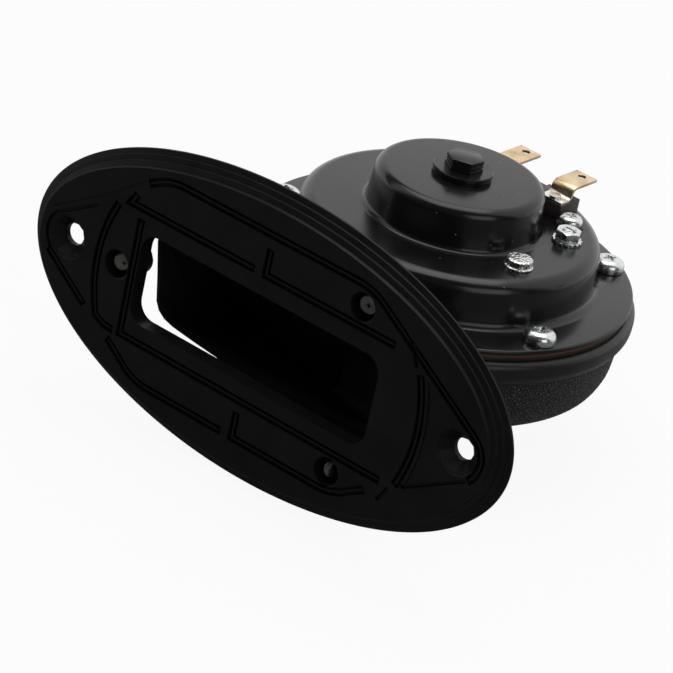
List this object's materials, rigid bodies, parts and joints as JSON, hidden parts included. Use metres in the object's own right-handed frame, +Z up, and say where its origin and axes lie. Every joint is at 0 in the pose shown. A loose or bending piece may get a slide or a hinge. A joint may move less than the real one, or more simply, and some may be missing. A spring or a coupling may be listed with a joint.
{
  "type": "boat horn",
  "caption": "Compact electric boat horn: upright round sounder with a curled trumpet that opens through an oval flush-mount plate.",
  "frame": {"origin": "midway between the two mounting holes, on the oval plate's seating face", "axes": "+X along the plate's long axis, to the right as seen from the front; +Y into the hull, away from the listener; +Z up, along the sounder's axis towards its dome"},
  "size_m": [0.1436, 0.1202, 0.0748],
  "materials": {
    "plate_plastic": "satin moulded",
    "body_plastic": "semi-gloss moulded",
    "bowl_plastic": "leather-grain moulded",
    "cover_paint": "gloss black",
    "zinc_plate": "bright zinc",
    "spring_steel": "plain",
    "fibre_gasket": "vulcanised fibre",
    "terminal_brass": "yellow passivated",
    "contact_metal": "ground",
    "phenolic": "phenolic",
    "bobbin_plastic": "nylon",
    "coil_wire": "enamelled",
    "block_plastic": "moulded"
  },
  "bodies": {
    "horn": {"mounting_plate": "plate_plastic", "plate_screws": "zinc_plate", "trumpet_body": "body_plastic", "trumpet_bowl": "bowl_plastic", "lower_gasket": "fibre_gasket", "diaphragm": "spring_steel", "upper_gasket": "fibre_gasket", "cover": "cover_paint", "flange_screws": "zinc_plate", "core": "spring_steel", "core_screw": "cover_paint", "core_washer": "cover_paint", "coil_bobbin": "bobbin_plastic", "coil_winding": "coil_wire", "fixed_contact_arm": "terminal_brass", "arm_root": "spring_steel", "fixed_contact": "contact_metal", "stack_insulators": "phenolic", "stack_nut_plate": "zinc_plate", "stack_screw": "zinc_plate", "adjuster_bush": "zinc_plate", "lock_washer": "zinc_plate", "knurled_stud": "zinc_plate", "terminal_block": "block_plastic", "near_terminal": "terminal_brass", "far_terminal": "terminal_brass", "terminal_rivets": "zinc_plate"},
    "armature": {"armature": "spring_steel", "armature_nut": "zinc_plate"},
    "contact_arm": {"moving_contact_arm": "spring_steel", "moving_contact": "contact_metal", "arm_button": "phenolic"},
    "adjusting_screw": {"adjusting_screw": "zinc_plate"},
    "lock_nut": {"lock_nut": "zinc_plate"}
  },
  "joints": [
    {"name": "armature_stroke", "type": "slide", "parent": "horn", "child": "armature", "axis": [0, 0, 1], "range_m": [0, 0.0006], "stiffness_N_per_m": 8000, "deforming": ["diaphragm"]},
    {"name": "contact_lift", "type": "hinge", "parent": "horn", "child": "contact_arm", "pos_m": [0.02299, 0.08451, 0.0103], "axis": [-0.7986, -0.6018, 0], "range_deg": [0, 3.9]},
    {"name": "adjusting_turn", "type": "hinge", "parent": "horn", "child": "adjusting_screw", "pos_m": [0.02461, 0.08108, 0.015], "axis": [0, 0, 1], "range_deg": [-180, 180]},
    {"name": "lock_nut_turn", "type": "hinge", "parent": "horn", "child": "lock_nut", "pos_m": [0.02461, 0.08108, 0.0175], "axis": [0, 0, 1], "range_deg": [0, 90]}
  ],
  "couplings": [
    {"joint": "contact_lift", "follows": "armature_stroke", "rad_per_m": 111.11}
  ]
}
